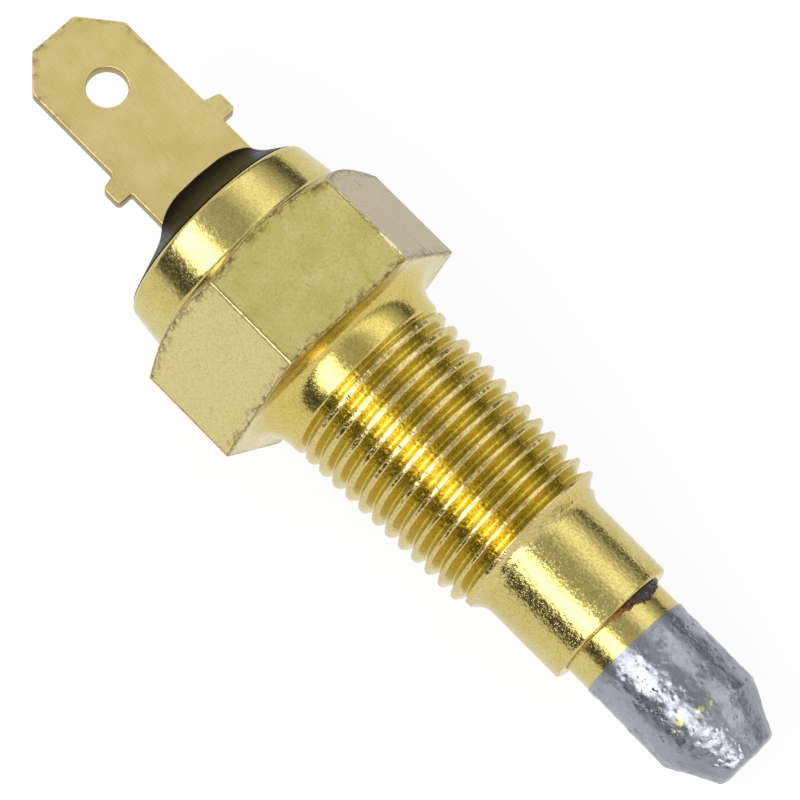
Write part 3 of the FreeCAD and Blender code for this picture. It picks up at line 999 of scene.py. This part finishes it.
towards_terminal = Vector((-math.cos(axis_slant) * math.cos(probe_lean),
                           math.sin(axis_slant) * math.cos(probe_lean), -math.sin(probe_lean)))
across_view = Vector((math.sin(axis_slant), math.cos(axis_slant), 0))
facing = across_view.cross(towards_terminal)
flat_in_view = facing * math.cos(flat_turn) + across_view * math.sin(flat_turn)
side_in_view = flat_in_view.cross(towards_terminal)
sensor_in_view = Matrix((side_in_view, flat_in_view, towards_terminal)).transposed()
zero_in_view = Vector((zero_aside, -zero_below, -camera_distance))
camera_turn = sensor_turn @ sensor_in_view.transposed()
camera_place = sensor_zero - camera_turn @ zero_in_view
camera = bpy.data.objects.new("camera", bpy.data.cameras.new("camera"))
bpy.context.scene.collection.objects.link(camera)
camera.matrix_world = Matrix.Translation(camera_place) @ camera_turn.to_4x4()
camera.data.sensor_width = 36
camera.data.lens = view_focal / view_pixels * camera.data.sensor_width
camera.data.clip_start = 0.01
bpy.context.scene.camera = camera


# Studio. A pale room with a white floor. A tent of cards stands round the sensor, lit as one
# long strip light beside the camera, black flags beside that and grey and white between.

floor_half = 3
floor_drop = 0.00002
white_share = 0.93
tent_radius = 0.8
tent_reach = 1.6
tent_step = 4
tent_bands = [
    # bearing round the sensor from the camera's side, in degrees, and the card's brightness
    (-120, 1.1), (-80, 1.1),
    (-71, 0.08), (-45, 0.08),
    (-38, 4.3), (-18, 4.1),
    (-9, 0.58), (12, 0.52), (24, 0.46), (34, 0.78),
    (47, 1.45), (62, 1.5), (72, 0.85), (88, 0.4),
    (97, 0.08), (140, 0.08),
]


def plain_material(name):
    material = bpy.data.materials.new(name)
    material.use_nodes = True
    material.node_tree.nodes.clear()
    return material, material.node_tree


paper, tree = plain_material("white_paper")
ray = add(tree, "ShaderNodeLightPath").outputs
seen = maths(tree, "MAXIMUM", ray["Is Glossy Ray"], ray["Is Transmission Ray"])
seen = maths(tree, "MAXIMUM", ray["Is Camera Ray"], seen)
matt = add(tree, "ShaderNodeBsdfDiffuse", None, {"Color": linear("#F4F4F4")})
glow = add(tree, "ShaderNodeEmission", None, {"Color": linear("#FFFFFF"), "Strength": 1.0})
mixed = add(tree, "ShaderNodeMixShader", None, {
    0: times(tree, seen, white_share), 1: matt.outputs[0], 2: glow.outputs[0]})
add(tree, "ShaderNodeOutputMaterial", None, {0: mixed.outputs[0]})
floor = bpy.data.objects.new("floor", bpy.data.meshes.new("floor"))
floor.data.from_pydata([
    (-floor_half, -floor_half, 0), (floor_half, -floor_half, 0),
    (floor_half, floor_half, 0), (-floor_half, floor_half, 0)], [], [(0, 1, 2, 3)])
floor.location.z = -floor_drop
bpy.context.scene.collection.objects.link(floor)
floor.data.materials.append(paper)

view_back = camera_turn @ Vector((0, 0, 1))
ring_side = camera_turn @ across_view
ring_front = axis_up.cross(ring_side)
if ring_front.dot(view_back) < 0:
    ring_front.negate()
card_points = []
card_light = []
for (start, bright), (end, next_bright) in zip(tent_bands, tent_bands[1:]):
    steps = math.ceil((end - start) / tent_step)
    for step in range(steps):
        bearing = math.radians(start + (end - start) * step / steps)
        away = ring_front * math.cos(bearing) + ring_side * math.sin(bearing)
        for reach in (-tent_reach, tent_reach):
            card_points.append(sensor_zero + away * tent_radius + axis_up * reach)
            card_light.append(bright + (next_bright - bright) * step / steps)
card_faces = [(i, i + 1, i + 3, i + 2) for i in range(0, len(card_points) - 2, 2)]
cards = bpy.data.objects.new("tent_of_cards", bpy.data.meshes.new("tent_of_cards"))
cards.data.from_pydata(card_points, [], card_faces)
bpy.context.scene.collection.objects.link(cards)
paint(cards, "card_light", card_light)
lit_card, tree = plain_material("lit_card")
glow = add(tree, "ShaderNodeEmission", None, {
    "Color": linear("#FFFFFF"), "Strength": painted(tree, "card_light")})
add(tree, "ShaderNodeOutputMaterial", None, {0: glow.outputs[0]})
cards.data.materials.append(lit_card)
cards.visible_camera = False

room = bpy.data.worlds.new("pale_room")
room.use_nodes = True
bpy.context.scene.world = room
background = room.node_tree.nodes["Background"].inputs
background["Color"].default_value = linear("#F2F2F2")
background["Strength"].default_value = 0.9

bpy.context.scene.view_settings.view_transform = "Standard"
